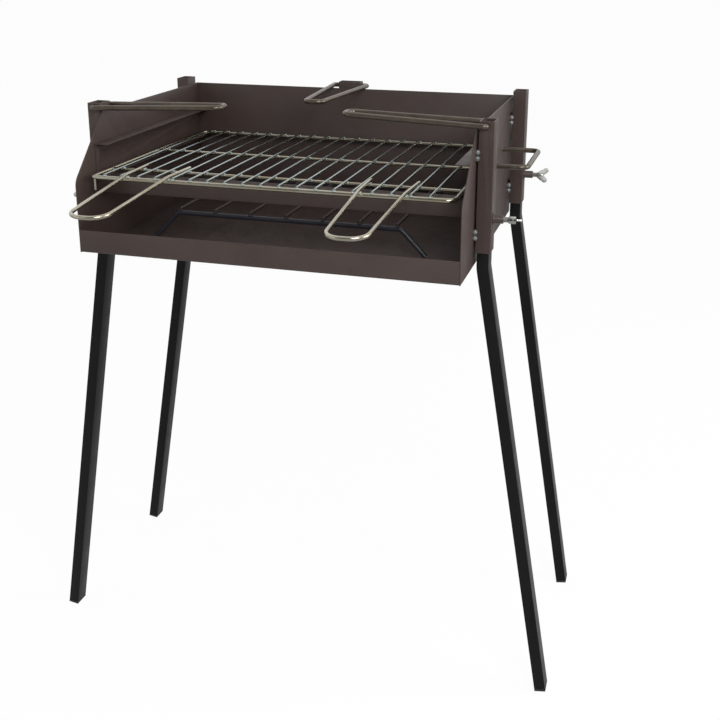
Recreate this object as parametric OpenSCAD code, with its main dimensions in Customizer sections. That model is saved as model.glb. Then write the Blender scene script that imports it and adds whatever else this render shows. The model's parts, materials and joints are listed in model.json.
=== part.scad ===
// Portable charcoal barbecue: a folded sheet fire tray on four plug-in legs, with a wire grill
// that slides on two channel guides and three rod supports that swing over the fire to hold a pan.
// X runs across the tray, Y from front to back and Z up. The ground is at Z = 0.

/* [Fire tray] */
// Width across the outer faces of the side walls
tray_w = 600; // [560:10:760]
// Depth from the front lip to the back wall
tray_d = 450; // [440:10:560]
// Height of the underside of the tray above the ground
tray_z = 725; // [500:5:900]
// Height of the back wall and of the side walls
wall_h = 207; // [200:5:240]
// Height of the front lip
lip_h = 36; // [20:1:50]
// Depth of the flat floor, from the front lip to the sloping back panel
floor_d = 325; // [320:5:360]
// Height at which the sloping back panel meets the back wall
slope_h = 105; // [80:5:108]
// Thickness of the sheet steel
sheet_t = 1.5; // [1:0.1:2]
// Radius of the folds in the sheet, at mid thickness
fold_r = 3; // [2:0.5:4]

/* [Side walls] */
// Height of the upright front edge of a side wall
cheek_h = 112; // [100:1:120]
// Distance from the front at which a side wall reaches its full height
cheek_d = 95; // [90:5:140]
// Rounding of the corner at the top of the upright front edge
cheek_r = 22; // [5:1:30]

/* [Grill guides] */
// Height of the top of the lower ledge, on which the grill slides
ledge_z = 112; // [110:1:120]
// Outer height of the channel-shaped guide
guide_h = 49.5; // [40:0.5:60]
// Width of the two ledges of the guide
guide_w = 23; // [15:1:28]
// Distance of the front end of the guides from the front
guide_y = 62; // [55:1:80]
// Height of the strip that ties the side walls together in front of the guides
strip_h = 42; // [30:1:48]

/* [Leg sockets] */
// Width of a socket, along X
socket_w = 22; // [20:0.5:26]
// Depth of a socket, along Y
socket_d = 32; // [30:0.5:36]
// Wall thickness of a socket
socket_t = 1.5; // [1:0.1:2]
// Gap between a socket and the side wall, bridged by the welds
weld_gap = 3; // [2:0.5:4]
// Height of the open top of the sockets above the walls
socket_rise = 11; // [11:1:16]
// Height of the lower end of the sockets above the underside of the tray
socket_z = 22; // [10:1:40]
// Distance of the front sockets from the front
socket_y = 95; // [90:1:110]

/* [Legs] */
// Width of a leg tube, along X
leg_w = 18; // [16:0.5:18]
// Depth of a leg tube, along Y
leg_d = 28; // [26:0.5:28]
// Wall thickness of a leg tube
leg_t = 1.5; // [1:0.1:2]
// Outward lean of the lower part of a leg
leg_splay = 9.5; // [4:0.5:14]
// Distance of the bend below the socket
leg_bend_drop = 24; // [18:1:60]
// Radius of the bend, at mid width
leg_bend_r = 45; // [30:5:80]
// Height of the foot cap below the end of the tube
cap_h = 4; // [2:0.5:8]

/* [Wing screws] */
// Thread diameter
screw_d = 8; // [6:1:8]
// Height of the screws above the lower end of the sockets
screw_z = 50; // [30:1:80]
// Diameter of the threaded boss
boss_d = 12.5; // [11:0.5:15]
// Length of the threaded boss
boss_l = 14; // [8:1:16]
// Turn of the wings of the left front, left rear, right front and right rear screws
wing_turns = [35, -20, -15, 35]; // [-90:5:90]

/* [Pan supports] */
// Diameter of the support and handle rods
rod_d = 8; // [6:0.5:8]
// Reach of the side supports from their pivots
side_reach = 215; // [150:5:230]
// Reach of the rear support from its pivot
rear_reach = 213; // [100:1:220]
// Upward slope of the side supports at rest
side_rise = 2; // [0:0.5:4]
// Lean of the two long sides of a side support towards each other
side_taper = 2.3; // [0:0.1:2.4]
// Lean of the two long sides of the rear support towards each other
rear_taper = 4.5; // [0:0.5:4.5]
// Radius of the corners at the free end
tip_r = 12; // [10:0.5:12]

/* [Grill] */
// Distance of the grill's side rods from the outer faces of the side walls
grill_side_gap = 16; // [14:0.5:18]
// Distance of the grill's front rod from the front
grill_y = 24; // [20:1:30]
// Distance of the grill's rear rod from the back
grill_rear_gap = 14; // [12:1:20]
// Diameter of the rod that runs round the grill
frame_d = 7; // [6:0.5:8]
// Radius of its corners
frame_corner_r = 14; // [8:1:24]
// Length of the rod end that points down at the left front corner
turned_end_l = 20; // [12:1:24]
// Diameter of the two cross rods
cross_d = 5; // [4:0.5:6]
// Distance of the cross rod that carries the handles from the front
handle_rod_y = 85; // [70:1:110]
// Distance of the middle cross rod from the front
middle_rod_y = 244; // [200:1:300]
// Diameter of the bars
bar_d = 3.5; // [3:0.5:4]
// Number of bars
bar_n = 19; // [17:2:19]
// Distance of the middle bar and of the handles to the left of the middle
bar_shift = 6; // [0:1:8]

/* [Grill handles] */
// Number of bars between the middle bar and the middle of each handle
handle_bars = 6; // [5:1:7]
// Width of a handle at its rear ends
handle_w = 74; // [60:1:75]
// Distance of the loop's end in front of the front rod
handle_reach = 188; // [120:2:200]
// Inward lean of the two sides of a handle
handle_taper = 2; // [0:0.5:3]
// Downward lean of a handle in front of the grill
handle_droop = 5.5; // [0:0.5:8]

/* [Carry handles] */
// Length of a carry handle, along Y
carry_l = 148; // [80:2:160]
// Distance that a carry handle stands out from the side wall
carry_out = 64; // [40:2:70]
// Height of the carry handles above the underside of the tray
carry_z = 132; // [110:1:150]

/* [Charcoal grate] */
// Height of the front rail above the floor, at mid thickness
rail_z = 45; // [40:1:55]
// Distance of the front rail from the front
rail_y = 112; // [80:1:140]
// Half the length of the level part of the front rail
rail_half = 180; // [150:5:200]
// Steepness of the feet at the ends of the rail
foot_lean = 46; // [30:1:70]
// Number of bars
grate_n = 7; // [5:1:9]
// Diameter of the bars
grate_bar_d = 5; // [4:0.5:6]

/* [Hidden] */
$fn = 48;

// Finishes
paint = [0.27, 0.25, 0.24];
rod_paint = [0.46, 0.42, 0.36];
zinc = [0.74, 0.74, 0.72];
weld_grey = [0.5, 0.5, 0.5];
fire_black = [0.16, 0.16, 0.19];
rubber_black = [0.06, 0.06, 0.06];

// Clearances: round pins, and parts that rest beside each other
pin_fit = 0.1;
rest_gap = 0.3;

// Bends in a rod: extra thickness, and the lap of the straight lengths
bend_swell = 0.06;
bend_lap = 0.3;

// Weld beads, and the depth of the blocks that trim them
bead_r = 4;
trim = bead_r + 1;

wall_x = tray_w / 2;
socket_x = wall_x + weld_gap;
socket_top = wall_h + socket_rise;
rear_socket_y = tray_d - socket_d;

// The legs, the screws and the pivots of the side supports are in the middle of the sockets
leg_x = socket_x + socket_w / 2;

// Pan supports: the rods lie just above the tops of the walls
pivot_z = wall_h + rod_d / 2 + rest_gap;
pivot_y = socket_y + socket_d / 2;
pin_in = 8;
hook_r = rod_d / 2 + 0.5;
side_space = 7;

// Bracket of the rear pan support, behind the back wall
bracket_w = 40;
bracket_d = 20;
bracket_z = 130;
bracket_y = tray_d + weld_gap;
rear_pivot_y = bracket_y + bracket_d / 2;
rear_space = 11;

// Legs: the tube ends a little below the pivots of the pan supports
leg_top = pivot_z - rod_d / 2 - 14;
leg_bend_z = socket_z - leg_bend_drop;
leg_low_l = (leg_bend_z + tray_z - leg_w / 2 * sin(leg_splay)) / cos(leg_splay);

// Screws: distances along the screw from the outer face of the socket
screw_height = socket_z + screw_z;
boss_flange_t = 1.5;
boss_flange_d = 17;
screw_tip = -socket_t - (socket_w - 2 * socket_t - leg_w) / 2 + pin_fit;
head_at = boss_flange_t + boss_l + 8;
head_l = 10;
head_d = 11;
wing_t = 3;

// Grill: bars and handles lie on top of the frame and of the cross rods
frame_x = wall_x - grill_side_gap;
frame_l = tray_d - grill_rear_gap - grill_y;
frame_z = ledge_z + frame_d / 2 + rest_gap;
frame_top = frame_z + frame_d / 2;
turned_end_d = 5;
bar_pitch = 2 * frame_x / (bar_n + 1);
bar_over_front = 2;
bar_over_rear = 4;
handle_d = 6;
handle_corner_r = 24;
handle_x = (handle_bars + 0.5) * bar_pitch;
handle_rear_y = handle_rod_y + 12;

// Charcoal grate
rail_d = 8;
rail_bend_r = 12;
slope_run = (tray_d - floor_d) / slope_h;
grate_bar_z = rail_z + rail_d / 2 + grate_bar_d / 2;
grate_bar_end = floor_d + (grate_bar_z - grate_bar_d / 2) * slope_run - 2 * sheet_t;
grate_pitch = 2 * rail_half / (grate_n - 1);

// The middle of the whole object, from the grill handles to the bracket, is at Y = 0
front_end = handle_reach * cos(handle_droop) + handle_d / 2 - grill_y;
tray_y = (front_end - bracket_y - bracket_d) / 2;

// Plane geometry

function unit(v) = v / norm(v);
function left_of(v) = [-v[1], v[0]];
function turned(v, a) = [v[0] * cos(a) - v[1] * sin(a), v[0] * sin(a) + v[1] * cos(a)];

// Points of the round corner at b, on the way from a to c
function corner(a, b, c, r, steps = 8) =
    let (u = unit(a - b), v = unit(c - b), half = acos(u * v) / 2)
    let (centre = b + unit(u + v) * r / sin(half), start = b + u * r / tan(half) - centre)
    let (sweep = (180 - 2 * half) * sign(cross(-u, v)))
    [for (i = [0 : steps]) centre + turned(start, sweep * i / steps)];

// A path with each inner corner rounded by the radius of the same place in radii
function rounded(path, radii) = [
    for (i = [0 : len(path) - 1])
        each i == 0 || i == len(path) - 1 || radii[i] == 0
            ? [path[i]]
            : corner(path[i - 1], path[i], path[i + 1], radii[i])];

// Direction in which a side of the path is moved out by one unit at point i
function offset_at(path, i) =
    let (last = len(path) - 1)
    let (before = unit(path[max(i, 1)] - path[max(i, 1) - 1]))
    let (after = unit(path[min(i, last - 1) + 1] - path[min(i, last - 1)]))
    let (n = unit(left_of(before) + left_of(after)))
    n / (n * left_of(after));

// Outline of a strip of thickness t that follows a path
function strip(path, t) =
    let (last = len(path) - 1)
    concat(
        [for (i = [0 : last]) path[i] + offset_at(path, i) * t / 2],
        [for (i = [last : -1 : 0]) path[i] - offset_at(path, i) * t / 2]);

// Placing

// From the tray's own frame, with its front edge at Y = 0 and its underside at Z = 0
module on_tray() {
    translate([0, tray_y, tray_z]) children();
}

module on_left() {
    mirror([1, 0, 0]) children();
}

// An outline in Y and Z, made solid from x to x + t
module side_plate(x, t) {
    translate([x, 0, 0]) rotate([90, 0, 90]) linear_extrude(t) children();
}

// An outline in X and Z, made solid from y to y + l
module front_plate(y, l) {
    translate([0, y + l, 0]) rotate([90, 0, 0]) linear_extrude(l) children();
}

// Rods

module rod(l, d) {
    rotate([0, 90, 0]) cylinder(h = l, d = d);
}

// A rod that starts along +X and is bent in its plane, from steps of [length, turn, bend radius].
// The bends are a hair thicker than the rod, and the straight lengths lap into them.
module bent_rod(steps, d, i = 0) {
    l = steps[i][0];
    turn = steps[i][1];
    r = steps[i][2];
    side = sign(turn);
    is_last = i == len(steps) - 1;
    start = i == 0 ? 0 : -bend_lap;
    translate([start, 0, 0]) rod(l - start + (is_last ? 0 : bend_lap), d);
    if (!is_last) {
        translate([l, side * r, 0])
            rotate([0, 0, side > 0 ? -90 : 90 + turn])
                rotate_extrude(angle = abs(turn)) translate([r, 0]) circle(d = d + bend_swell);
        translate([l + r * sin(abs(turn)), side * r * (1 - cos(turn)), 0])
            rotate([0, 0, turn]) bent_rod(steps, d, i + 1);
    }
}

// Fire tray and side walls

module fire_tray() {
    mid = sheet_t / 2;
    fold = [[mid, lip_h], [mid, mid], [floor_d, mid], [tray_d - mid, slope_h], [tray_d - mid, wall_h]];
    color(paint) on_tray()
        side_plate(sheet_t - wall_x, tray_w - 2 * sheet_t)
            polygon(strip(rounded(fold, [0, fold_r, fold_r, fold_r, 0]), sheet_t));
}

module side_wall() {
    outline = [[0, 0], [tray_d, 0], [tray_d, wall_h], [cheek_d, wall_h], [0, cheek_h], [0, 0]];
    points = rounded(outline, [0, 0, 0, 10, cheek_r, 0]);
    color(paint) on_tray()
        side_plate(wall_x - sheet_t, sheet_t)
            polygon([for (i = [0 : len(points) - 2]) points[i]]);
}

module grill_guide() {
    inner = wall_x - sheet_t;
    mid = sheet_t / 2;
    low = ledge_z - mid;
    high = ledge_z + guide_h - sheet_t - mid;
    channel = [[inner - guide_w, high], [inner - mid, high], [inner - mid, low], [inner - guide_w, low]];
    color(paint) on_tray() {
        front_plate(guide_y, tray_d - sheet_t - guide_y)
            polygon(strip(rounded(channel, [0, fold_r, fold_r, 0]), sheet_t));
        for (y = [guide_y + 14, tray_d / 2, tray_d - 30])
            spot_weld(inner - sheet_t, y, (low + high) / 2 + 12);
    }
}

module spot_weld(x, y, z) {
    translate([x - 0.4, y, z]) rod(0.4, 6);
}

// A strip across the front, whose top edge is level with the ledges of the guides
module front_strip() {
    color(paint) on_tray() translate([sheet_t - wall_x, guide_y - sheet_t, ledge_z - strip_h])
        cube([tray_w - 2 * sheet_t, sheet_t, strip_h]);
}

// Leg sockets, with the screw hole and, at the front, the holes for the pan support

module socket(y, has_pivot) {
    inner_w = socket_w - 2 * socket_t;
    inner_d = socket_d - 2 * socket_t;
    color(paint) on_tray() difference() {
        translate([socket_x, y, socket_z]) cube([socket_w, socket_d, socket_top - socket_z]);
        translate([socket_x + socket_t, y + socket_t, socket_z - 1])
            cube([inner_w, inner_d, socket_top - socket_z + 2]);
        translate([leg_x, y + socket_d / 2, screw_height]) rod(socket_w, screw_d + 1);
        if (has_pivot)
            translate([leg_x, y - 1, pivot_z])
                rotate([-90, 0, 0]) cylinder(h = socket_d + 2, d = rod_d + 2 * pin_fit);
    }
}

module boss(y) {
    color(paint) on_tray() translate([socket_x + socket_w, y + socket_d / 2, screw_height]) difference() {
        union() {
            rod(boss_flange_t, boss_flange_d);
            rod(boss_flange_t + boss_l, boss_d);
        }
        translate([-1, 0, 0]) rod(boss_flange_t + boss_l + 2, screw_d + pin_fit);
    }
}

// Welds: beads in the gap beside a socket, cut where the wall and the socket are

module bead(face_y, z) {
    translate([wall_x + weld_gap / 2, face_y, z]) difference() {
        sphere(r = bead_r);
        translate([-weld_gap / 2 - trim, -trim, -trim]) cube([trim, 2 * trim, 2 * trim]);
        translate([weld_gap / 2, 0, -trim]) cube([trim, trim, 2 * trim]);
    }
}

module bead_pairs(y) {
    for (z = [socket_z + 23, socket_z + 32, socket_top - 54, socket_top - 45]) {
        bead(y, z);
        translate([0, 2 * y + socket_d, 0]) mirror([0, 1, 0]) bead(y, z);
    }
}

module rear_bracket_beads() {
    for (side = [-1, 1], z = [bracket_z + 12, bracket_z + 21, wall_h - 10])
        translate([side * bracket_w / 2, tray_d + weld_gap / 2, z]) difference() {
            sphere(r = bead_r);
            translate([-trim, -weld_gap / 2 - trim, -trim]) cube([2 * trim, trim, 2 * trim]);
            translate([side > 0 ? -trim : 0, weld_gap / 2, -trim]) cube([trim, trim, 2 * trim]);
        }
}

module socket_welds() {
    color(weld_grey) on_tray() {
        for (y = [socket_y, rear_socket_y]) {
            bead_pairs(y);
            on_left() bead_pairs(y);
        }
        rear_bracket_beads();
    }
}

module rear_bracket() {
    color(paint) on_tray() difference() {
        translate([-bracket_w / 2, bracket_y, bracket_z])
            cube([bracket_w, bracket_d, socket_top - bracket_z]);
        translate([socket_t - bracket_w / 2, bracket_y + socket_t, bracket_z - 1])
            cube([bracket_w - 2 * socket_t, bracket_d - 2 * socket_t, socket_top - bracket_z + 2]);
        translate([-bracket_w / 2 - 1, rear_pivot_y, pivot_z]) rod(bracket_w + 2, rod_d + 2 * pin_fit);
    }
}

module carry_handle() {
    r = 12;
    arm = carry_out - rod_d / 2 - r;
    color(rod_paint) on_tray()
        translate([wall_x, (socket_y + rear_socket_y + socket_d - carry_l + rod_d) / 2, carry_z])
            bent_rod([[arm, 90, r], [carry_l - rod_d - 2 * r, 90, r], [arm, 0, 0]], rod_d);
}

// Legs

leg_path = [
    [0, leg_top],
    [0, leg_bend_z],
    [leg_low_l * sin(leg_splay), leg_bend_z - leg_low_l * cos(leg_splay)]];
cap_path = [
    leg_path[2] - [cap_h * sin(leg_splay), -cap_h * cos(leg_splay)],
    leg_path[2]];
tube_path = [leg_path[0], leg_path[1], cap_path[0]];

module leg(y) {
    path = rounded(tube_path, [0, leg_bend_r, 0]);
    color(paint) on_tray() translate([leg_x, y + (socket_d - leg_d) / 2, 0]) difference() {
        front_plate(0, leg_d) polygon(strip(path, leg_w));
        front_plate(leg_t, leg_d - 2 * leg_t) polygon(strip(longer(path, 1), leg_w - 2 * leg_t));
    }
}

// The same path, with both ends drawn out by extra
function longer(path, extra) =
    let (last = len(path) - 1)
    concat(
        [path[0] + unit(path[0] - path[1]) * extra],
        [for (i = [1 : last - 1]) path[i]],
        [path[last] + unit(path[last] - path[last - 1]) * extra]);

// Foot cap: a block that closes the end of the tube, with a plug that reaches up inside
module foot_cap(y) {
    plug_l = 14;
    plug_gap = 0.2;
    plug_w = leg_w - 2 * leg_t - 2 * plug_gap;
    plug_d = leg_d - 2 * leg_t - 2 * plug_gap;
    color(rubber_black) on_tray()
        translate([leg_x + cap_path[0][0], y + socket_d / 2, cap_path[0][1]]) rotate([0, -leg_splay, 0]) {
            translate([-leg_w / 2, -leg_d / 2, -cap_h]) cube([leg_w, leg_d, cap_h]);
            translate([-plug_w / 2, -plug_d / 2, 0]) cube([plug_w, plug_d, plug_l]);
        }
}

// Wing screws

module wing() {
    polygon([[0, 0], [0, 5], [7, 12], [18, 10], [head_l, 0]]);
    translate([13.5, 11.5]) circle(d = 9);
}

module wing_screw(y, turn) {
    color(zinc) on_tray()
        translate([socket_x + socket_w, y + socket_d / 2, screw_height]) rotate([turn, 0, 0]) {
            translate([screw_tip, 0, 0]) rod(head_at - screw_tip, screw_d);
            translate([head_at, 0, 0]) {
                rod(head_l, head_d);
                translate([0, 0, -wing_t / 2]) linear_extrude(wing_t) {
                    wing();
                    mirror([0, 1]) wing();
                }
            }
        }
}

// Pan supports: a rod bent to a long loop, whose ends turn in to make the pivot pins.
// The pivot axis is the local Y axis, and the loop reaches along +X.

module pan_support(body_w, space, reach, taper) {
    half = body_w / 2 + space;
    pin = pin_in + space - hook_r;
    arm = (reach - hook_r * (1 + sin(taper)) - tip_r * (1 - sin(taper))) / cos(taper);
    end_l = 2 * (half - hook_r + hook_r * cos(taper) - arm * sin(taper) - tip_r * cos(taper));
    hook = 90 + taper;
    tip = 90 - taper;
    loop = [[pin, hook, hook_r], [arm, tip, tip_r], [end_l, tip, tip_r], [arm, hook, hook_r], [pin, 0, 0]];
    color(rod_paint) translate([0, pin_in - body_w / 2, 0]) rotate([0, 0, -90]) bent_rod(loop, rod_d);
}

module left_pan_support() {
    on_tray() translate([-leg_x, pivot_y, pivot_z])
        rotate([0, -side_rise, 0]) pan_support(socket_d, side_space, side_reach, side_taper);
}

module rear_pan_support() {
    on_tray() translate([0, rear_pivot_y, pivot_z])
        rotate([0, 0, -90]) pan_support(bracket_w, rear_space, rear_reach, rear_taper);
}

// Grill

// The rod that runs round the grill, with a tight bend and a rod end that points down at the left front
module grill_frame() {
    r = frame_corner_r;
    tight_r = frame_d / 2 + 1;
    right_and_rear = [[frame_x - r, 90, r], [frame_l - 2 * r, 90, r], [2 * (frame_x - r), 90, r]];
    left_and_front = [[frame_l - r - tight_r, 90, tight_r], [frame_x - tight_r, 0, 0]];
    color(zinc) on_tray() translate([0, grill_y, frame_z]) {
        bent_rod(concat(right_and_rear, left_and_front), frame_d);
        translate([tight_r - frame_x, 0, -turned_end_l]) cylinder(h = turned_end_l, d = turned_end_d);
    }
}

module cross_rod(y) {
    l = 2 * frame_x - frame_d;
    color(zinc) on_tray() translate([-l / 2, y, frame_top - cross_d / 2]) rod(l, cross_d);
}

module grill_bars() {
    l = bar_over_front + frame_l + bar_over_rear;
    color(zinc) on_tray()
        for (i = [1 : bar_n])
            translate([i * bar_pitch - frame_x - bar_shift, grill_y - bar_over_front, frame_top + bar_d / 2])
                rotate([-90, 0, 0]) cylinder(h = l, d = bar_d, $fn = 24);
}

// A handle: two level ends on the front and handle rods, and a loop that leans down in front of them
module grill_handle(x) {
    flat = (handle_rear_y - grill_y) / cos(handle_taper);
    loop_w = handle_w - 2 * flat * sin(handle_taper);
    side_l = (handle_reach - handle_corner_r * (1 - sin(handle_taper))) / cos(handle_taper);
    end_l = loop_w - 2 * side_l * sin(handle_taper) - 2 * handle_corner_r * cos(handle_taper);
    turn = 90 - handle_taper;
    loop = [[side_l, turn, handle_corner_r], [end_l, turn, handle_corner_r], [side_l, 0, 0]];
    color(zinc) on_tray() translate([x - bar_shift, grill_y, frame_top + handle_d / 2]) {
        for (side = [-1, 1])
            translate([side * loop_w / 2, 0, 0]) {
                rotate([0, 0, 90 - side * handle_taper]) rod(flat, handle_d);
                sphere(d = handle_d + bend_swell);
            }
        rotate([handle_droop, 0, 0]) translate([-loop_w / 2, 0, 0]) rotate([0, 0, handle_taper - 90])
            bent_rod(loop, handle_d);
    }
}

// Charcoal grate

module charcoal_rail() {
    drop = rail_z - sheet_t - rest_gap - rail_d / 2 * cos(foot_lean);
    bend_drop = rail_bend_r * (1 - cos(foot_lean));
    foot_l = (drop - bend_drop) / sin(foot_lean);
    start_x = -rail_half - rail_bend_r * sin(foot_lean) - foot_l * cos(foot_lean);
    rail = [[foot_l, -foot_lean, rail_bend_r], [2 * rail_half, -foot_lean, rail_bend_r], [foot_l, 0, 0]];
    color(fire_black) on_tray()
        translate([start_x, rail_y, rail_z - drop]) rotate([90, 0, 0]) rotate([0, 0, foot_lean])
            bent_rod(rail, rail_d);
}

module charcoal_bars() {
    start = rail_y - grate_bar_d / 2;
    color(paint) on_tray()
        for (i = [0 : grate_n - 1])
            translate([i * grate_pitch - rail_half, start, grate_bar_z])
                rotate([-90, 0, 0]) cylinder(h = grate_bar_end - start, d = grate_bar_d, $fn = 24);
}

fire_tray();
on_left() side_wall();  // left_side_wall
side_wall();  // right_side_wall
on_left() grill_guide();  // left_grill_guide
grill_guide();  // right_grill_guide
front_strip();
on_left() socket(socket_y, true);  // left_front_socket
on_left() socket(rear_socket_y, false);  // left_rear_socket
socket(socket_y, true);  // right_front_socket
socket(rear_socket_y, false);  // right_rear_socket
on_left() boss(socket_y);  // left_front_boss
on_left() boss(rear_socket_y);  // left_rear_boss
boss(socket_y);  // right_front_boss
boss(rear_socket_y);  // right_rear_boss
socket_welds();
rear_bracket();
on_left() carry_handle();  // left_carry_handle
carry_handle();  // right_carry_handle
on_left() leg(socket_y);  // left_front_leg
on_left() leg(rear_socket_y);  // left_rear_leg
leg(socket_y);  // right_front_leg
leg(rear_socket_y);  // right_rear_leg
on_left() foot_cap(socket_y);  // left_front_foot_cap
on_left() foot_cap(rear_socket_y);  // left_rear_foot_cap
foot_cap(socket_y);  // right_front_foot_cap
foot_cap(rear_socket_y);  // right_rear_foot_cap
on_left() wing_screw(socket_y, wing_turns[0]);  // left_front_wing_screw
on_left() wing_screw(rear_socket_y, wing_turns[1]);  // left_rear_wing_screw
wing_screw(socket_y, wing_turns[2]);  // right_front_wing_screw
wing_screw(rear_socket_y, wing_turns[3]);  // right_rear_wing_screw
left_pan_support();
on_left() left_pan_support();  // right_pan_support
rear_pan_support();
grill_frame();
cross_rod(handle_rod_y);  // grill_handle_rod
cross_rod(middle_rod_y);  // grill_middle_rod
grill_bars();
grill_handle(-handle_x);  // left_grill_handle
grill_handle(handle_x);  // right_grill_handle
charcoal_rail();
charcoal_bars();
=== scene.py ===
"""The look of a portable charcoal barbecue, and the forms that are made on top of its solids.

The metal pieces come in at their real size and place, in metres. Sheets and tubes get the small edge
rounding of real ones, the tray and the front strip are folded anew, and the charcoal grate gets a rear
rail. Welds and screw threads are modelled on the rods and screws.
"""

import json
import math

import bpy
from mathutils import Matrix, Vector


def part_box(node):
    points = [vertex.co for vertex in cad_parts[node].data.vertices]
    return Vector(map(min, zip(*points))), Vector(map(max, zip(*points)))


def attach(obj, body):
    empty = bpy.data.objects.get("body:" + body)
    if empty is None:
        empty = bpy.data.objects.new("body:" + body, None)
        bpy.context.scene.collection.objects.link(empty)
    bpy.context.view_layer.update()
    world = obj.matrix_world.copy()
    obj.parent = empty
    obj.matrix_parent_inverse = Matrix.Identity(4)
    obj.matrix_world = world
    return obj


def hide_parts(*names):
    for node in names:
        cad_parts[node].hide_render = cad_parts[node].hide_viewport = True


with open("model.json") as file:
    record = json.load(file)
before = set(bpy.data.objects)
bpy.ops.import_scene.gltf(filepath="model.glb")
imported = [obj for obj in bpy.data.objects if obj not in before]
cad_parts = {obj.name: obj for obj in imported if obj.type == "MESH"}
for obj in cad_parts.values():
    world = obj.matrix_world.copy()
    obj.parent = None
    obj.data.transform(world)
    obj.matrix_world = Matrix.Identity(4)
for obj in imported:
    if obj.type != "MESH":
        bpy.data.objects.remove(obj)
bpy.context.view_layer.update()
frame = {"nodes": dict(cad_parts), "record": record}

SIDES = ("left", "right")
CORNERS = ("left_front", "left_rear", "right_front", "right_rear")
SLOT_OF = {part["node"]: part["material_slot"] for part in frame["record"]["subparts"]}
BODY_OF = {node: body for body, nodes in frame["record"]["behaviour"]["bodies"].items() for node in nodes}


# Camera, light and floor


def add_camera():
    """A camera to the right of the front, a little above the barbecue."""
    azimuth = math.radians(16.4)
    elevation = math.radians(17.05)
    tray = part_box("fire_tray")
    place = Vector((0.564, tray[0].y - 1.395, 1.193))
    back = Vector((
        math.sin(azimuth) * math.cos(elevation),
        -math.cos(azimuth) * math.cos(elevation),
        math.sin(elevation)))
    right = Vector((math.cos(azimuth), math.sin(azimuth), 0))
    up = back.cross(right)
    data = bpy.data.cameras.new("view")
    data.sensor_width = 36
    data.lens = 53
    data.shift_y = -0.135
    camera = bpy.data.objects.new("view", data)
    bpy.context.scene.collection.objects.link(camera)
    turn = Matrix((right, up, back)).transposed()
    camera.matrix_world = Matrix.Translation(place) @ turn.to_4x4()
    bpy.context.scene.camera = camera


def add_soft_light(name, place, aim, size, power):
    """A square soft light that faces the point aim."""
    data = bpy.data.lights.new(name, "AREA")
    data.shape = "SQUARE"
    data.size = size
    data.energy = power
    light = bpy.data.objects.new(name, data)
    light.location = place
    light.rotation_euler = (Vector(aim) - Vector(place)).to_track_quat("-Z", "Y").to_euler()
    bpy.context.scene.collection.objects.link(light)


def camera_or_gloss(nodes, links):
    """1 for what the camera sees directly, in a reflection or through glass."""
    path = nodes.new("ShaderNodeLightPath")
    gloss = nodes.new("ShaderNodeMath")
    gloss.operation = "MAXIMUM"
    links.new(path.outputs["Is Glossy Ray"], gloss.inputs[0])
    links.new(path.outputs["Is Transmission Ray"], gloss.inputs[1])
    seen = nodes.new("ShaderNodeMath")
    seen.operation = "MAXIMUM"
    links.new(path.outputs["Is Camera Ray"], seen.inputs[0])
    links.new(gloss.outputs[0], seen.inputs[1])
    return seen.outputs[0]


def studio_backdrop(nodes, links):
    """White behind the barbecue, and dimmer in front of it, where only reflections show it."""
    direction = nodes.new("ShaderNodeTexCoord")
    split = nodes.new("ShaderNodeSeparateXYZ")
    shade = nodes.new("ShaderNodeMapRange")
    shade.inputs["From Min"].default_value = -0.6
    shade.inputs["From Max"].default_value = 0.2
    shade.inputs["To Min"].default_value = 0.16
    shade.inputs["To Max"].default_value = 1.0
    path = nodes.new("ShaderNodeLightPath")
    strength = nodes.new("ShaderNodeMath")
    strength.operation = "MAXIMUM"
    white = nodes.new("ShaderNodeBackground")
    white.inputs["Color"].default_value = (1, 1, 1, 1)
    links.new(direction.outputs["Generated"], split.inputs[0])
    links.new(split.outputs["Y"], shade.inputs["Value"])
    links.new(shade.outputs[0], strength.inputs[0])
    links.new(path.outputs["Is Camera Ray"], strength.inputs[1])
    links.new(strength.outputs[0], white.inputs["Strength"])
    return white.outputs[0]


def light_world():
    """A white background that lights the barbecue softly."""
    world = bpy.data.worlds.new("studio")
    world.use_nodes = True
    nodes, links = world.node_tree.nodes, world.node_tree.links
    nodes.clear()
    room = nodes.new("ShaderNodeBackground")
    room.inputs["Color"].default_value = (1, 1, 1, 1)
    room.inputs["Strength"].default_value = 0.55
    mix = nodes.new("ShaderNodeMixShader")
    out = nodes.new("ShaderNodeOutputWorld")
    links.new(camera_or_gloss(nodes, links), mix.inputs["Fac"])
    links.new(room.outputs[0], mix.inputs[1])
    links.new(studio_backdrop(nodes, links), mix.inputs[2])
    links.new(mix.outputs[0], out.inputs["Surface"])
    bpy.context.scene.world = world


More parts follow.
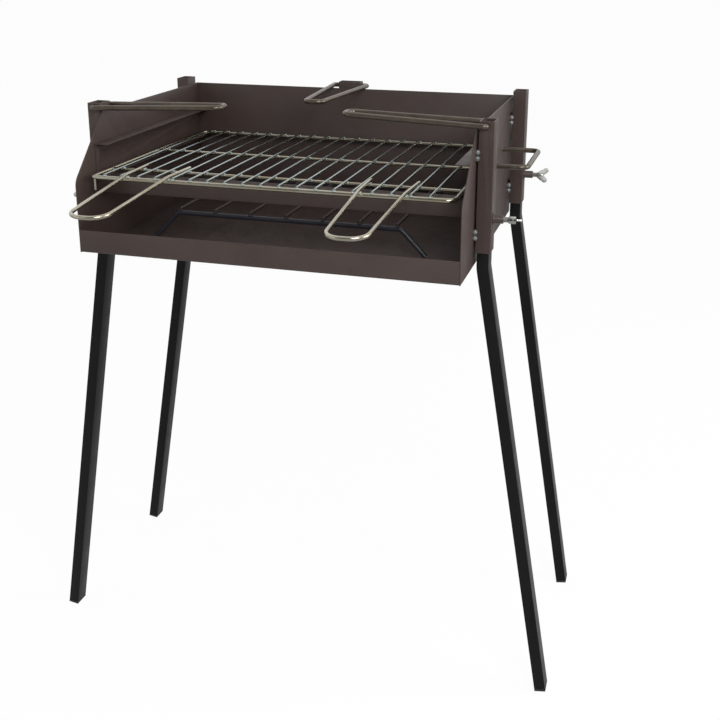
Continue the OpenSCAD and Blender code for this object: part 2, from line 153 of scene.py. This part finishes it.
def lay_floor():
    """A plain white floor with a soft shadow, which reflections show dimmer than the camera does."""
    glow_share = 0.95
    reflected_glow = 0.45
    deselect()
    bpy.ops.mesh.primitive_plane_add(size=120, location=(0, 0, 0))
    floor = bpy.context.object
    floor.name = "floor"
    material = bpy.data.materials.new("floor_white")
    material.use_nodes = True
    nodes, links = material.node_tree.nodes, material.node_tree.links
    nodes.clear()
    matt = nodes.new("ShaderNodeBsdfDiffuse")
    matt.inputs["Color"].default_value = (0.9, 0.9, 0.9, 1)
    glow = nodes.new("ShaderNodeEmission")
    glow.inputs["Color"].default_value = (1, 1, 1, 1)
    path = nodes.new("ShaderNodeLightPath")
    strength = nodes.new("ShaderNodeMapRange")
    strength.inputs["To Min"].default_value = reflected_glow
    strength.inputs["To Max"].default_value = 1.0
    links.new(path.outputs["Is Camera Ray"], strength.inputs["Value"])
    links.new(strength.outputs[0], glow.inputs["Strength"])
    share = nodes.new("ShaderNodeMath")
    share.operation = "MULTIPLY"
    share.inputs[1].default_value = glow_share
    mix = nodes.new("ShaderNodeMixShader")
    out = nodes.new("ShaderNodeOutputMaterial")
    links.new(camera_or_gloss(nodes, links), share.inputs[0])
    links.new(share.outputs[0], mix.inputs["Fac"])
    links.new(matt.outputs[0], mix.inputs[1])
    links.new(glow.outputs[0], mix.inputs[2])
    links.new(mix.outputs[0], out.inputs["Surface"])
    floor.data.materials.append(material)


# Finishes


class Finish:
    """A material whose patterns are laid out in the barbecue's own coordinates."""

    def __init__(self, name):
        self.material = bpy.data.materials.new(name)
        self.material.use_nodes = True
        self.nodes = self.material.node_tree.nodes
        self.links = self.material.node_tree.links
        self.shader = self.nodes["Principled BSDF"]
        coordinates = self.nodes.new("ShaderNodeTexCoord")
        self.mapping = self.nodes.new("ShaderNodeMapping")
        self.links.new(coordinates.outputs["Object"], self.mapping.inputs["Vector"])

    def noise(self, scale, detail=3.0, distortion=0.0):
        """Cloudy pattern whose blots are about 1 / scale metres wide."""
        node = self.nodes.new("ShaderNodeTexNoise")
        node.inputs["Scale"].default_value = scale
        node.inputs["Detail"].default_value = detail
        node.inputs["Distortion"].default_value = distortion
        self.links.new(self.mapping.outputs["Vector"], node.inputs["Vector"])
        return node.outputs["Fac"]

    def ramp(self, factor, low, high, start=0.3, end=0.7):
        """Colours from low to high as factor goes from start to end."""
        node = self.nodes.new("ShaderNodeValToRGB")
        node.color_ramp.elements[0].position = start
        node.color_ramp.elements[0].color = (*low, 1)
        node.color_ramp.elements[1].position = end
        node.color_ramp.elements[1].color = (*high, 1)
        self.links.new(factor, node.inputs["Fac"])
        return node.outputs["Color"]

    def spread(self, factor, low, high):
        """Number from low to high as factor goes from 0.3 to 0.7."""
        node = self.nodes.new("ShaderNodeMapRange")
        node.inputs["From Min"].default_value = 0.3
        node.inputs["From Max"].default_value = 0.7
        node.inputs["To Min"].default_value = low
        node.inputs["To Max"].default_value = high
        self.links.new(factor, node.inputs["Value"])
        return node.outputs["Result"]

    def blend(self, factor, first, second):
        """Mixes two colours by factor."""
        node = self.nodes.new("ShaderNodeMix")
        node.data_type = "RGBA"
        self.links.new(factor, node.inputs["Factor"])
        self.links.new(first, node.inputs["A"])
        self.links.new(second, node.inputs["B"])
        return node.outputs["Result"]

    def colour(self, output):
        self.links.new(output, self.shader.inputs["Base Color"])

    def roughness(self, output):
        self.links.new(output, self.shader.inputs["Roughness"])

    def bump(self, heights, strength, depth, under=None):
        """Relief of the given depth in metres, on top of another relief if there is one."""
        node = self.nodes.new("ShaderNodeBump")
        node.inputs["Strength"].default_value = strength
        node.inputs["Distance"].default_value = depth
        self.links.new(heights, node.inputs["Height"])
        if under is not None:
            self.links.new(under, node.inputs["Normal"])
        self.links.new(node.outputs["Normal"], self.shader.inputs["Normal"])
        return node.outputs["Normal"]


def oven_paint(name, dark, light, low_gloss, high_gloss, shine):
    """Thin heat-resistant paint on sheet steel, with a fine orange peel and faint uneven tone."""
    finish = Finish(name)
    tone = finish.ramp(finish.noise(9, 4), dark, light)
    speck = finish.ramp(finish.noise(1100, 2), [0.75 * c for c in dark], [1.3 * c for c in light])
    share = finish.spread(finish.noise(900, 1), 0.0, 0.45)
    finish.colour(finish.blend(share, tone, speck))
    finish.roughness(finish.spread(finish.noise(45, 5), low_gloss, high_gloss))
    sheet_wave = finish.bump(finish.noise(14, 2), 0.12, 0.001)
    finish.bump(finish.noise(950, 2), 0.35, 0.0001, under=sheet_wave)
    finish.shader.inputs["Specular IOR Level"].default_value = shine
    return finish.material


def browned_rod(name, dark, light):
    """Steel rod under a thin clear brown paint, with the metal's shine through it."""
    finish = Finish(name)
    finish.shader.inputs["Metallic"].default_value = 0.8
    finish.colour(finish.ramp(finish.noise(60, 4, 0.4), dark, light))
    finish.roughness(finish.spread(finish.noise(40, 3), 0.28, 0.38))
    return finish.material


def plated_steel(name, light, tinted, low_gloss, high_gloss):
    """Smooth zinc plating, with a faint tint in patches."""
    finish = Finish(name)
    finish.shader.inputs["Metallic"].default_value = 1.0
    finish.colour(finish.ramp(finish.noise(14, 3, 0.6), tinted, light))
    finish.roughness(finish.spread(finish.noise(30, 3), low_gloss, high_gloss))
    return finish.material


def weld_metal(name, dark, light):
    """A weld's bead under paint or plating, rough and rippled."""
    finish = Finish(name)
    finish.colour(finish.ramp(finish.noise(420, 4), dark, light))
    finish.roughness(finish.spread(finish.noise(700, 3), 0.35, 0.6))
    finish.bump(finish.noise(650, 3), 0.6, 0.0004)
    finish.shader.inputs["Metallic"].default_value = 0.5
    return finish.material


def moulded_plastic(name, dark, light):
    """Black plastic with the fine grain of its mould."""
    finish = Finish(name)
    finish.colour(finish.ramp(finish.noise(30, 3), dark, light))
    finish.roughness(finish.spread(finish.noise(500, 2), 0.5, 0.7))
    finish.bump(finish.noise(1600, 2), 0.4, 0.0001)
    return finish.material


FINISHES = {
    "fire_box_paint": oven_paint(
        "fire_box_paint", (0.044, 0.030, 0.026), (0.060, 0.042, 0.037), 0.36, 0.50, 0.34),
    "leg_paint": oven_paint("leg_paint", (0.005, 0.0045, 0.0045), (0.008, 0.007, 0.007), 0.26, 0.38, 0.17),
    "rod_paint": browned_rod("rod_paint", (0.095, 0.078, 0.062), (0.145, 0.120, 0.096)),
    "bare_weld": weld_metal("bare_weld", (0.13, 0.14, 0.145), (0.25, 0.265, 0.27)),
    "grill_zinc": plated_steel("grill_zinc", (0.52, 0.49, 0.41), (0.42, 0.38, 0.28), 0.20, 0.28),
    "screw_zinc": plated_steel("screw_zinc", (0.60, 0.60, 0.58), (0.48, 0.48, 0.46), 0.22, 0.32),
    "fire_black": oven_paint("fire_black", (0.016, 0.017, 0.024), (0.030, 0.031, 0.040), 0.30, 0.46, 0.45),
    "foot_cap_plastic": moulded_plastic(
        "foot_cap_plastic", (0.012, 0.012, 0.012), (0.022, 0.022, 0.022)),
}
PLATED_WELD = weld_metal("plated_weld", (0.24, 0.31, 0.31), (0.42, 0.50, 0.50))
BAR_ZINC = plated_steel("bar_zinc", (0.46, 0.52, 0.51), (0.37, 0.42, 0.40), 0.20, 0.28)


# Modelling helpers


def deselect():
    bpy.ops.object.select_all(action="DESELECT")


def make_active(piece):
    deselect()
    piece.select_set(True)
    bpy.context.view_layer.objects.active = piece


def settle_place(piece):
    """Moves the piece's place, turn and size into its mesh."""
    make_active(piece)
    bpy.ops.object.transform_apply(location=True, rotation=True, scale=True)


def copy_mesh(piece, name, place):
    """A copy with its own mesh, moved by place."""
    copy = bpy.data.objects.new(name, piece.data.copy())
    bpy.context.scene.collection.objects.link(copy)
    copy.location = place
    settle_place(copy)
    return copy


def join_pieces(pieces, name):
    deselect()
    for piece in pieces:
        piece.select_set(True)
    bpy.context.view_layer.objects.active = pieces[0]
    bpy.ops.object.join()
    joined = bpy.context.object
    joined.name = name
    return joined


def dress(piece, body, material):
    """Gives a finished piece its material and the body that it moves with."""
    piece.data.materials.clear()
    piece.data.materials.append(material)
    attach(piece, body)


def centre_of(box):
    return (box[0] + box[1]) / 2


def centres_along_x(node):
    """The middle of each separate bar of a node whose bars stand side by side along X."""
    gap = 0.004
    xs = sorted(vertex.co.x for vertex in frame["nodes"][node].data.vertices)
    groups = [[xs[0]]]
    for x in xs[1:]:
        if x - groups[-1][-1] > gap:
            groups.append([])
        groups[-1].append(x)
    return [(group[0] + group[-1]) / 2 for group in groups]


# Rounded edges of sheets, tubes and screws


def round_edges(node, radius, steps):
    """A copy of a solid with its sharp edges rounded, which then stands for it."""
    piece = bpy.data.objects.new(f"{node}_rounded", frame["nodes"][node].data.copy())
    bpy.context.scene.collection.objects.link(piece)
    make_active(piece)
    bpy.ops.object.mode_set(mode="EDIT")
    bpy.ops.mesh.select_all(action="SELECT")
    bpy.ops.mesh.remove_doubles(threshold=0.00001)
    bpy.ops.mesh.dissolve_limited(angle_limit=math.radians(1))
    bpy.ops.object.mode_set(mode="OBJECT")
    bevel = piece.modifiers.new("edges", "BEVEL")
    bevel.width = radius
    bevel.segments = steps
    bevel.limit_method = "ANGLE"
    bevel.angle_limit = math.radians(40)
    bpy.ops.object.modifier_apply(modifier=bevel.name)
    bpy.ops.object.shade_smooth_by_angle(angle=math.radians(35))
    slot = SLOT_OF[node]
    dress(piece, BODY_OF[node], FINISHES[slot])
    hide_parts(node)


def round_all_edges():
    cut_sheet = 0.0004
    tube_corner = 0.0007
    spot_weld = 0.0001
    for side in SIDES:
        round_edges(f"{side}_side_wall", cut_sheet, 2)
        round_edges(f"{side}_grill_guide", spot_weld, 2)
    for corner in CORNERS:
        round_edges(f"{corner}_socket", tube_corner, 3)
        round_edges(f"{corner}_leg", tube_corner, 3)
        round_edges(f"{corner}_foot_cap", cut_sheet, 2)
        round_edges(f"{corner}_boss", cut_sheet, 2)
        round_edges(f"{corner}_wing_screw", cut_sheet, 2)
    round_edges("rear_bracket", tube_corner, 3)


# Folded sheets


def fold_sheet(name, width, y, heights, folds, sheet):
    """A sheet across the barbecue: an upright panel at y between two heights, then a panel per fold."""
    start, end = heights
    fold_radius = 0.003
    cut_edge = 0.0004
    deselect()
    bpy.ops.mesh.primitive_plane_add(
        size=1, location=(0, y, (start + end) / 2), rotation=(math.pi / 2, 0, 0))
    piece = bpy.context.object
    piece.name = name
    piece.scale = (width, abs(end - start), 1)
    settle_place(piece)
    points = piece.data.vertices
    for point in points:
        point.select = abs(point.co.z - end) < abs(point.co.z - start)
    for edge in piece.data.edges:
        edge.select = all(points[corner].select for corner in edge.vertices)
    for face in piece.data.polygons:
        face.select = False
    bpy.ops.object.mode_set(mode="EDIT")
    bpy.ops.mesh.select_mode(type="EDGE")
    for fold in folds:
        bpy.ops.mesh.extrude_edges_move(TRANSFORM_OT_translate={"value": fold})
    bpy.ops.mesh.select_all(action="SELECT")
    bpy.ops.mesh.normals_make_consistent(inside=False)
    bpy.ops.object.mode_set(mode="OBJECT")
    bend = piece.modifiers.new("bend", "BEVEL")
    bend.width = fold_radius
    bend.segments = 5
    bend.limit_method = "ANGLE"
    bpy.ops.object.modifier_apply(modifier=bend.name)
    wall = piece.modifiers.new("wall", "SOLIDIFY")
    wall.thickness = sheet
    wall.offset = 0
    bpy.ops.object.modifier_apply(modifier=wall.name)
    rim = piece.modifiers.new("rim", "BEVEL")
    rim.width = cut_edge
    rim.segments = 2
    rim.limit_method = "ANGLE"
    rim.angle_limit = math.radians(60)
    bpy.ops.object.modifier_apply(modifier=rim.name)
    bpy.ops.object.shade_smooth_by_angle(angle=math.radians(35))
    dress(piece, "fire_box", FINISHES["fire_box_paint"])
    return piece


def sheet_thickness():
    low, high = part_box("front_strip")
    return high.y - low.y


def fold_tray():
    """The tray: lip, level floor and upright back wall."""
    lip_height = 0.036
    low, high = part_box("fire_tray")
    sheet = sheet_thickness()
    floor_z = low.z + sheet / 2
    folds = [(0, high.y - low.y - sheet, 0), (0, 0, high.z - floor_z)]
    heights = (low.z + lip_height, floor_z)
    tray = fold_sheet("fire_tray_folded", high.x - low.x, low.y + sheet / 2, heights, folds, sheet)
    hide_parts("fire_tray")


def fold_front_strip():
    """The strip under the ledges: a low face, and a flange that runs back below the guides."""
    face_height = 0.026
    flange_depth = 0.022
    low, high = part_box("front_strip")
    sheet = sheet_thickness()
    flange_z = high.z - 1.5 * sheet
    heights = (flange_z - face_height, flange_z)
    strip = fold_sheet(
        "front_strip_folded", high.x - low.x, high.y - sheet / 2, heights, [(0, flange_depth, 0)], sheet)
    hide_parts("front_strip")


# Welds


def weld_drop(size, seed):
    """A small uneven drop of weld metal around the origin."""
    deselect()
    bpy.ops.mesh.primitive_uv_sphere_add(segments=10, ring_count=6, radius=1, location=(0, 0, 0))
    drop = bpy.context.object
    drop.scale = size
    settle_place(drop)
    bpy.ops.object.mode_set(mode="EDIT")
    bpy.ops.mesh.select_all(action="SELECT")
    bpy.ops.transform.vertex_random(offset=0.08 * min(size), uniform=0.5, seed=seed)
    bpy.ops.object.mode_set(mode="OBJECT")
    bpy.ops.object.shade_smooth()
    return drop


def weld_crossings(name, places, size, body, material):
    """One drop of weld metal at each place, where two rods cross."""
    drop = weld_drop(size, seed=7)
    drops = [copy_mesh(drop, name, place) for place in places]
    bpy.data.objects.remove(drop)
    dress(join_pieces(drops, name), body, material)


def grill_rod_places():
    """The distances at which the grill's four crosswise rods lie, from front to rear."""
    frame_radius = 0.0035
    low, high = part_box("grill_frame")
    between = [centre_of(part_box(rod)).y for rod in ("grill_handle_rod", "grill_middle_rod")]
    return [low.y + frame_radius, *between, high.y - frame_radius]


def weld_bars():
    """The bars are welded to each rod that they cross."""
    drop_size = (0.0030, 0.0040, 0.0014)
    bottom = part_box("grill_bars")[0].z
    places = [(x, y, bottom) for y in grill_rod_places() for x in centres_along_x("grill_bars")]
    weld_crossings("bar_welds", places, drop_size, "grill", PLATED_WELD)


def weld_cross_rods():
    """The two cross rods are welded to the sides of the frame."""
    drop_size = (0.0016, 0.0040, 0.0026)
    places = []
    for rod in ("grill_handle_rod", "grill_middle_rod"):
        low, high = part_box(rod)
        middle = centre_of((low, high))
        places += [(low.x, middle.y, middle.z), (high.x, middle.y, middle.z)]
    weld_crossings("cross_rod_welds", places, drop_size, "grill", PLATED_WELD)


def weld_grill_handles():
    """Both sides of each handle are welded to the front rod and to the handle rod."""
    drop_size = (0.0050, 0.0052, 0.0022)
    radius = 0.003
    lean = math.tan(math.radians(2))
    places = []
    for side in SIDES:
        low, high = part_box(f"{side}_grill_handle")
        for y in grill_rod_places()[:2]:
            inset = radius + lean * (high.y - y)
            places += [(x, y, high.z - 2 * radius) for x in (low.x + inset, high.x - inset)]
    weld_crossings("grill_handle_welds", places, drop_size, "grill", PLATED_WELD)


def rear_rail_shift():
    """How far the rear rail of the charcoal grate lies behind the front one, under the bars' ends."""
    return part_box("charcoal_bars")[1].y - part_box("charcoal_rail")[1].y


def add_rear_rail():
    """A second rail like the front one carries the rear ends of the charcoal bars."""
    rail = copy_mesh(frame["nodes"]["charcoal_rail"], "charcoal_rear_rail", (0, rear_rail_shift(), 0))
    make_active(rail)
    bpy.ops.object.mode_set(mode="EDIT")
    bpy.ops.mesh.select_all(action="SELECT")
    bpy.ops.mesh.remove_doubles(threshold=0.00001)
    bpy.ops.object.mode_set(mode="OBJECT")
    bpy.ops.object.shade_smooth_by_angle(angle=math.radians(35))
    dress(rail, "charcoal_grate", FINISHES["fire_black"])


def weld_grate():
    """The charcoal bars are welded to both rails."""
    drop_size = (0.0036, 0.0040, 0.0016)
    radius = 0.004
    bars_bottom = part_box("charcoal_bars")[0].z
    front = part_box("charcoal_rail")[1].y - radius
    ys = (front, front + rear_rail_shift())
    places = [(x, y, bars_bottom) for y in ys for x in centres_along_x("charcoal_bars")]
    weld_crossings(
        "charcoal_bar_welds", places, drop_size, "charcoal_grate", FINISHES["fire_black"])


def weld_ring(rod_radius, bead_radius):
    """A ring of weld metal around a rod that stands on a wall, with the rod along X."""
    deselect()
    bpy.ops.mesh.primitive_torus_add(
        major_radius=rod_radius, minor_radius=bead_radius, major_segments=28, minor_segments=8,
        rotation=(0, math.pi / 2, 0))
    ring = bpy.context.object
    settle_place(ring)
    bpy.ops.object.mode_set(mode="EDIT")
    bpy.ops.mesh.select_all(action="SELECT")
    bpy.ops.transform.vertex_random(offset=0.15 * bead_radius, uniform=0.6, seed=3)
    bpy.ops.object.mode_set(mode="OBJECT")
    bpy.ops.object.shade_smooth()
    return ring


def weld_carry_handles():
    """Each end of a carry handle is welded to its side wall."""
    bead_radius = 0.0011
    for side in SIDES:
        low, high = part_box(f"{side}_carry_handle")
        rod_radius = (high.z - low.z) / 2
        wall_x = high.x if side == "left" else low.x
        ring = weld_ring(rod_radius, bead_radius)
        ends = [low.y + rod_radius, high.y - rod_radius]
        name = f"{side}_carry_handle_welds"
        rings = [copy_mesh(ring, name, (wall_x, y, (low.z + high.z) / 2)) for y in ends]
        bpy.data.objects.remove(ring)
        dress(join_pieces(rings, name), "fire_box", FINISHES["rod_paint"])


# Screw threads


def screw_thread(length, radius):
    """A helical ridge along +X, from the origin."""
    pitch = 0.00125
    ridge = 0.00055
    deselect()
    bpy.ops.mesh.primitive_circle_add(
        vertices=3, radius=ridge, location=(radius, 0, 0), rotation=(math.pi / 2, 0, 0))
    thread = bpy.context.object
    settle_place(thread)
    helix = thread.modifiers.new("helix", "SCREW")
    helix.screw_offset = pitch
    helix.iterations = int(length / pitch)
    helix.steps = 24
    helix.render_steps = 24
    bpy.ops.object.modifier_apply(modifier=helix.name)
    bpy.ops.object.mode_set(mode="EDIT")
    bpy.ops.mesh.select_all(action="SELECT")
    bpy.ops.mesh.remove_doubles(threshold=0.00001)
    bpy.ops.mesh.fill_holes(sides=3)
    bpy.ops.mesh.normals_make_consistent(inside=False)
    bpy.ops.object.mode_set(mode="OBJECT")
    thread.rotation_euler = (0, math.pi / 2, 0)
    settle_place(thread)
    bpy.ops.object.shade_smooth_by_angle(angle=math.radians(30))
    return thread


def thread_wing_screws():
    """The thread shows between the boss and the head of each wing screw."""
    shown = 0.008
    radius = 0.0037
    for corner in CORNERS:
        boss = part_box(f"{corner}_boss")
        axis = centre_of(boss)
        thread = screw_thread(shown, radius)
        start = boss[0].x - shown if corner.startswith("left") else boss[1].x
        name = f"{corner}_screw_thread"
        piece = copy_mesh(thread, name, (start, axis.y, axis.z))
        bpy.data.objects.remove(thread)
        dress(piece, f"{corner}_wing_screw", FINISHES["screw_zinc"])


def finish_solids():
    """Every solid gets the full finish of its slot, and the grill's thin bars a cooler plating."""
    for node, piece in frame["nodes"].items():
        for place in piece.material_slots:
            place.material = BAR_ZINC if node == "grill_bars" else FINISHES[SLOT_OF[node]]


bpy.context.scene.view_settings.view_transform = "Standard"
add_camera()
light_world()
lay_floor()
add_soft_light("key", (1.7, -2.4, 2.5), (0, 0, 0.8), 1.6, 72)
add_soft_light("fill", (-2.4, -2.2, 1.6), (0, 0, 0.7), 2.0, 10)
add_soft_light("side", (2.8, 0.3, 1.6), (0.3, 0, 0.8), 1.4, 34)
finish_solids()
round_all_edges()
fold_tray()
fold_front_strip()
add_rear_rail()
weld_bars()
weld_cross_rods()
weld_grill_handles()
weld_grate()
weld_carry_handles()
thread_wing_screws()
